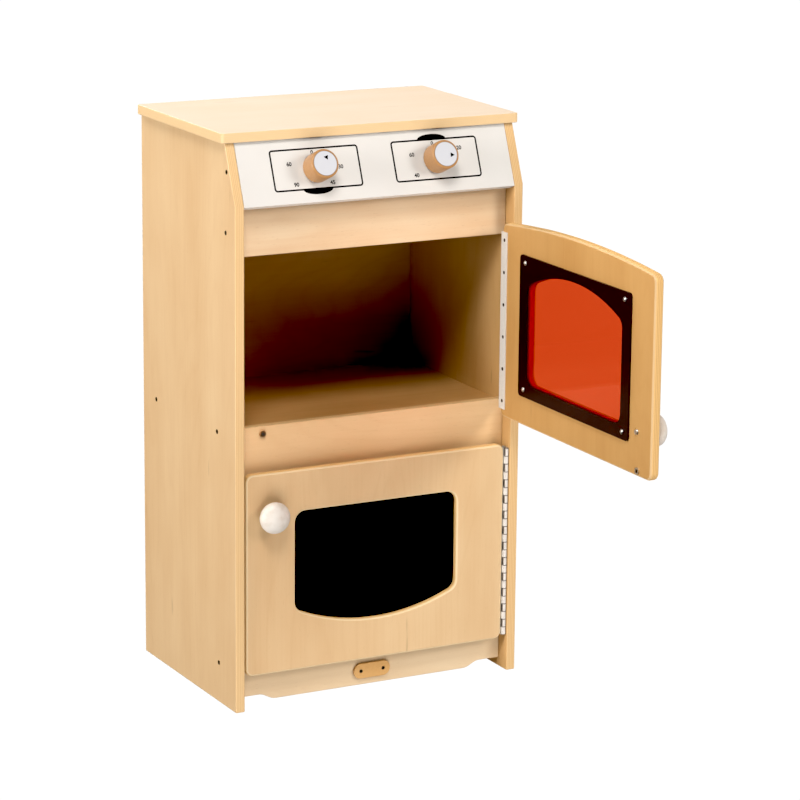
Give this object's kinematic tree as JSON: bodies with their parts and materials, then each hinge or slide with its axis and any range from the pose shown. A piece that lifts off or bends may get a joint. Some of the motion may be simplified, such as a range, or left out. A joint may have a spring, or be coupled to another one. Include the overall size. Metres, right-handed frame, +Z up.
{
  "type": "toy washing machine",
  "caption": "Child's wooden play laundry cabinet: dryer compartment above washer compartment, hinged windowed doors, and a sloping control panel with turning dials.",
  "frame": {"origin": "on the floor, midway between the outsides of the side panels and midway in their depth", "axes": "+X to the right seen from the front, +Y to the back (the doors face -Y), +Z up"},
  "size_m": [0.4985, 0.777, 0.875],
  "materials": {
    "cabinet_ply": "clear satin lacquer on birch plywood",
    "top_ply": "clear satin lacquer on birch plywood",
    "rail_ply": "clear satin lacquer on birch plywood",
    "door_ply": "clear satin lacquer on birch plywood",
    "back_ply": "thin birch plywood, lacquered",
    "white_laminate": "white laminate, satin",
    "badge_wood": "clear lacquer",
    "dowel_wood": "bare beech",
    "dial_wood": "lacquered turned wood",
    "face_white": "white plastic disc",
    "frame_black": "black acrylic",
    "pane_orange": "translucent orange acrylic",
    "pane_smoke": "near-black acrylic",
    "knob_white": "glossy off-white",
    "hinge_white": "white paint on steel",
    "dark_steel": "blackened steel",
    "bright_steel": "zinc plated",
    "magnet_steel": "nickel plated"
  },
  "bodies": {
    "cabinet": {"left_side_panel": "cabinet_ply", "right_side_panel": "cabinet_ply", "top_panel": "top_ply", "back_panel": "back_ply", "header_rail": "rail_ply", "mid_rail": "rail_ply", "toe_kick": "rail_ply", "upper_shelf": "cabinet_ply", "lower_shelf": "cabinet_ply", "control_panel": "white_laminate", "badge": "badge_wood", "badge_screws": "bright_steel", "top_dowels": "dowel_wood", "left_side_screws": "dark_steel", "right_side_screws": "dark_steel", "back_panel_screws": "bright_steel", "dial_bolts": "bright_steel", "dial_washers": "bright_steel", "dial_nuts": "bright_steel", "catch_magnets": "magnet_steel", "catch_screws": "bright_steel", "upper_side_leaf": "hinge_white", "upper_side_leaf_screws": "dark_steel", "upper_hinge_pin": "bright_steel", "lower_side_leaf": "hinge_white", "lower_side_leaf_screws": "dark_steel", "lower_hinge_pin": "bright_steel"},
    "upper_door": {"upper_door_board": "door_ply", "upper_window_frame": "frame_black", "upper_window_pane": "pane_orange", "upper_window_screws": "bright_steel", "upper_door_leaf": "hinge_white", "upper_door_leaf_screws": "dark_steel", "upper_door_knob": "knob_white", "upper_knob_screw": "bright_steel", "upper_strike": "bright_steel", "upper_strike_screw": "dark_steel"},
    "lower_door": {"lower_door_board": "door_ply", "lower_window_frame": "frame_black", "lower_window_pane": "pane_smoke", "lower_window_screws": "bright_steel", "lower_door_leaf": "hinge_white", "lower_door_leaf_screws": "dark_steel", "lower_door_knob": "knob_white", "lower_knob_screw": "bright_steel", "lower_strike": "bright_steel", "lower_strike_screw": "dark_steel"},
    "washer_dial": {"washer_dial": "dial_wood", "washer_dial_face": "face_white"},
    "dryer_dial": {"dryer_dial": "dial_wood", "dryer_dial_face": "face_white"}
  },
  "joints": [
    {"name": "upper_door_hinge", "type": "hinge", "parent": "cabinet", "child": "upper_door", "pos_m": [0.2215, -0.165, 0.563], "axis": [0, 0, 1], "range_deg": [-90, 25]},
    {"name": "lower_door_hinge", "type": "hinge", "parent": "cabinet", "child": "lower_door", "pos_m": [0.2215, -0.165, 0.2085], "axis": [0, 0, 1], "range_deg": [0, 115]},
    {"name": "washer_dial_turn", "type": "hinge", "parent": "cabinet", "child": "washer_dial", "pos_m": [-0.1, -0.15181, 0.81596], "axis": [0, -0.927, 0.375], "continuous": true},
    {"name": "dryer_dial_turn", "type": "hinge", "parent": "cabinet", "child": "dryer_dial", "pos_m": [0.1, -0.15181, 0.81596], "axis": [0, -0.927, 0.375], "continuous": true}
  ]
}
